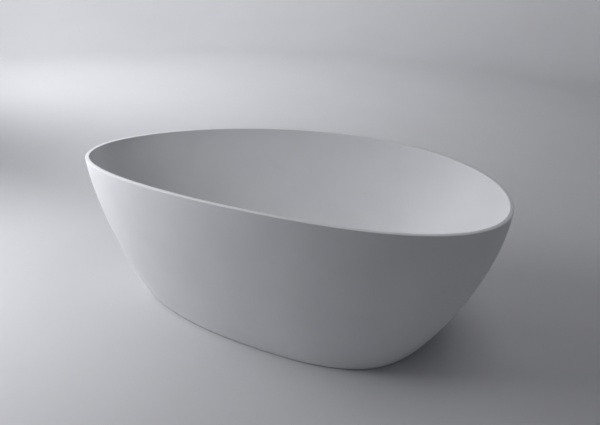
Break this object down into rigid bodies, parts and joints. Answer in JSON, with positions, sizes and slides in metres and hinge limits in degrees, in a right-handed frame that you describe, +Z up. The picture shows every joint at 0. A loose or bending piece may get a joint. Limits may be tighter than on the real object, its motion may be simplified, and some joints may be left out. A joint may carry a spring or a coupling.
{
  "type": "freestanding bathtub",
  "caption": "Egg-shaped freestanding bathtub with a thin arched rim, push-to-open waste, slot overflow, trap, and levelling feet under a steel cradle.",
  "frame": {"origin": "on the floor, under the middle of the tub's length and width", "axes": "+X along the length towards the wider end, +Y across towards the side without the overflow, +Z up"},
  "size_m": [1.7, 0.9042, 0.62],
  "materials": {
    "resin": "matte",
    "chrome": "polished",
    "rubber": "matte",
    "white_plastic": "satin",
    "dark_plastic": "matte",
    "steel": "satin",
    "brass": "satin",
    "cradle_steel": "satin"
  },
  "bodies": {
    "tub": {"outer_shell": "resin", "inner_basin": "resin", "overflow_trim": "chrome", "waste_flange": "chrome", "overflow_gasket": "rubber", "flange_gasket": "rubber", "waste_washer": "rubber", "overflow_channel": "white_plastic", "overflow_coupler": "white_plastic", "waste_body": "white_plastic", "trap_nut": "white_plastic", "trap_head": "white_plastic", "trap_cup": "white_plastic", "outlet_pipe": "white_plastic", "overflow_pipe": "dark_plastic", "pipe_clip_upper": "steel", "pipe_clip_lower": "steel", "plug_sleeve": "brass", "sleeve_nut": "brass", "waste_backnut": "brass", "rail_near": "cradle_steel", "rail_far": "cradle_steel", "crossbar_narrow": "cradle_steel", "crossbar_wide": "cradle_steel", "support_pad_near_narrow": "rubber", "foot_weldnut_near_narrow": "steel", "foot_locknut_near_narrow": "steel", "support_pad_near_wide": "rubber", "foot_weldnut_near_wide": "steel", "foot_locknut_near_wide": "steel", "support_pad_far_narrow": "rubber", "foot_weldnut_far_narrow": "steel", "foot_locknut_far_narrow": "steel", "support_pad_far_wide": "rubber", "foot_weldnut_far_wide": "steel", "foot_locknut_far_wide": "steel"},
    "plug": {"plug_cap": "chrome", "plug_seal": "rubber", "plug_stem": "brass"},
    "foot_near_narrow": {"foot_pad_near_narrow": "dark_plastic"},
    "stud_near_narrow": {"foot_stud_near_narrow": "steel"},
    "foot_near_wide": {"foot_pad_near_wide": "dark_plastic"},
    "stud_near_wide": {"foot_stud_near_wide": "steel"},
    "foot_far_narrow": {"foot_pad_far_narrow": "dark_plastic"},
    "stud_far_narrow": {"foot_stud_far_narrow": "steel"},
    "foot_far_wide": {"foot_pad_far_wide": "dark_plastic"},
    "stud_far_wide": {"foot_stud_far_wide": "steel"}
  },
  "joints": [
    {"name": "plug_lift", "type": "slide", "parent": "tub", "child": "plug", "axis": [0, 0, 1], "range_m": [0, 0.01]},
    {"name": "foot_lower_near_narrow", "type": "slide", "parent": "tub", "child": "foot_near_narrow", "axis": [0, 0, -1], "range_m": [0, 0.0175]},
    {"name": "stud_turn_near_narrow", "type": "hinge", "parent": "foot_near_narrow", "child": "stud_near_narrow", "pos_m": [-0.37, -0.15, 0.06], "axis": [0, 0, -1], "range_deg": [0, 3600]},
    {"name": "foot_lower_near_wide", "type": "slide", "parent": "tub", "child": "foot_near_wide", "axis": [0, 0, -1], "range_m": [0, 0.0175]},
    {"name": "stud_turn_near_wide", "type": "hinge", "parent": "foot_near_wide", "child": "stud_near_wide", "pos_m": [0.37, -0.15, 0.06], "axis": [0, 0, -1], "range_deg": [0, 3600]},
    {"name": "foot_lower_far_narrow", "type": "slide", "parent": "tub", "child": "foot_far_narrow", "axis": [0, 0, -1], "range_m": [0, 0.0175]},
    {"name": "stud_turn_far_narrow", "type": "hinge", "parent": "foot_far_narrow", "child": "stud_far_narrow", "pos_m": [-0.37, 0.15, 0.06], "axis": [0, 0, -1], "range_deg": [0, 3600]},
    {"name": "foot_lower_far_wide", "type": "slide", "parent": "tub", "child": "foot_far_wide", "axis": [0, 0, -1], "range_m": [0, 0.0175]},
    {"name": "stud_turn_far_wide", "type": "hinge", "parent": "foot_far_wide", "child": "stud_far_wide", "pos_m": [0.37, 0.15, 0.06], "axis": [0, 0, -1], "range_deg": [0, 3600]}
  ],
  "couplings": [
    {"joint": "stud_turn_near_narrow", "follows": "foot_lower_near_narrow", "rad_per_m": 3590.4},
    {"joint": "stud_turn_near_wide", "follows": "foot_lower_near_wide", "rad_per_m": 3590.4},
    {"joint": "stud_turn_far_narrow", "follows": "foot_lower_far_narrow", "rad_per_m": 3590.4},
    {"joint": "stud_turn_far_wide", "follows": "foot_lower_far_wide", "rad_per_m": 3590.4}
  ]
}
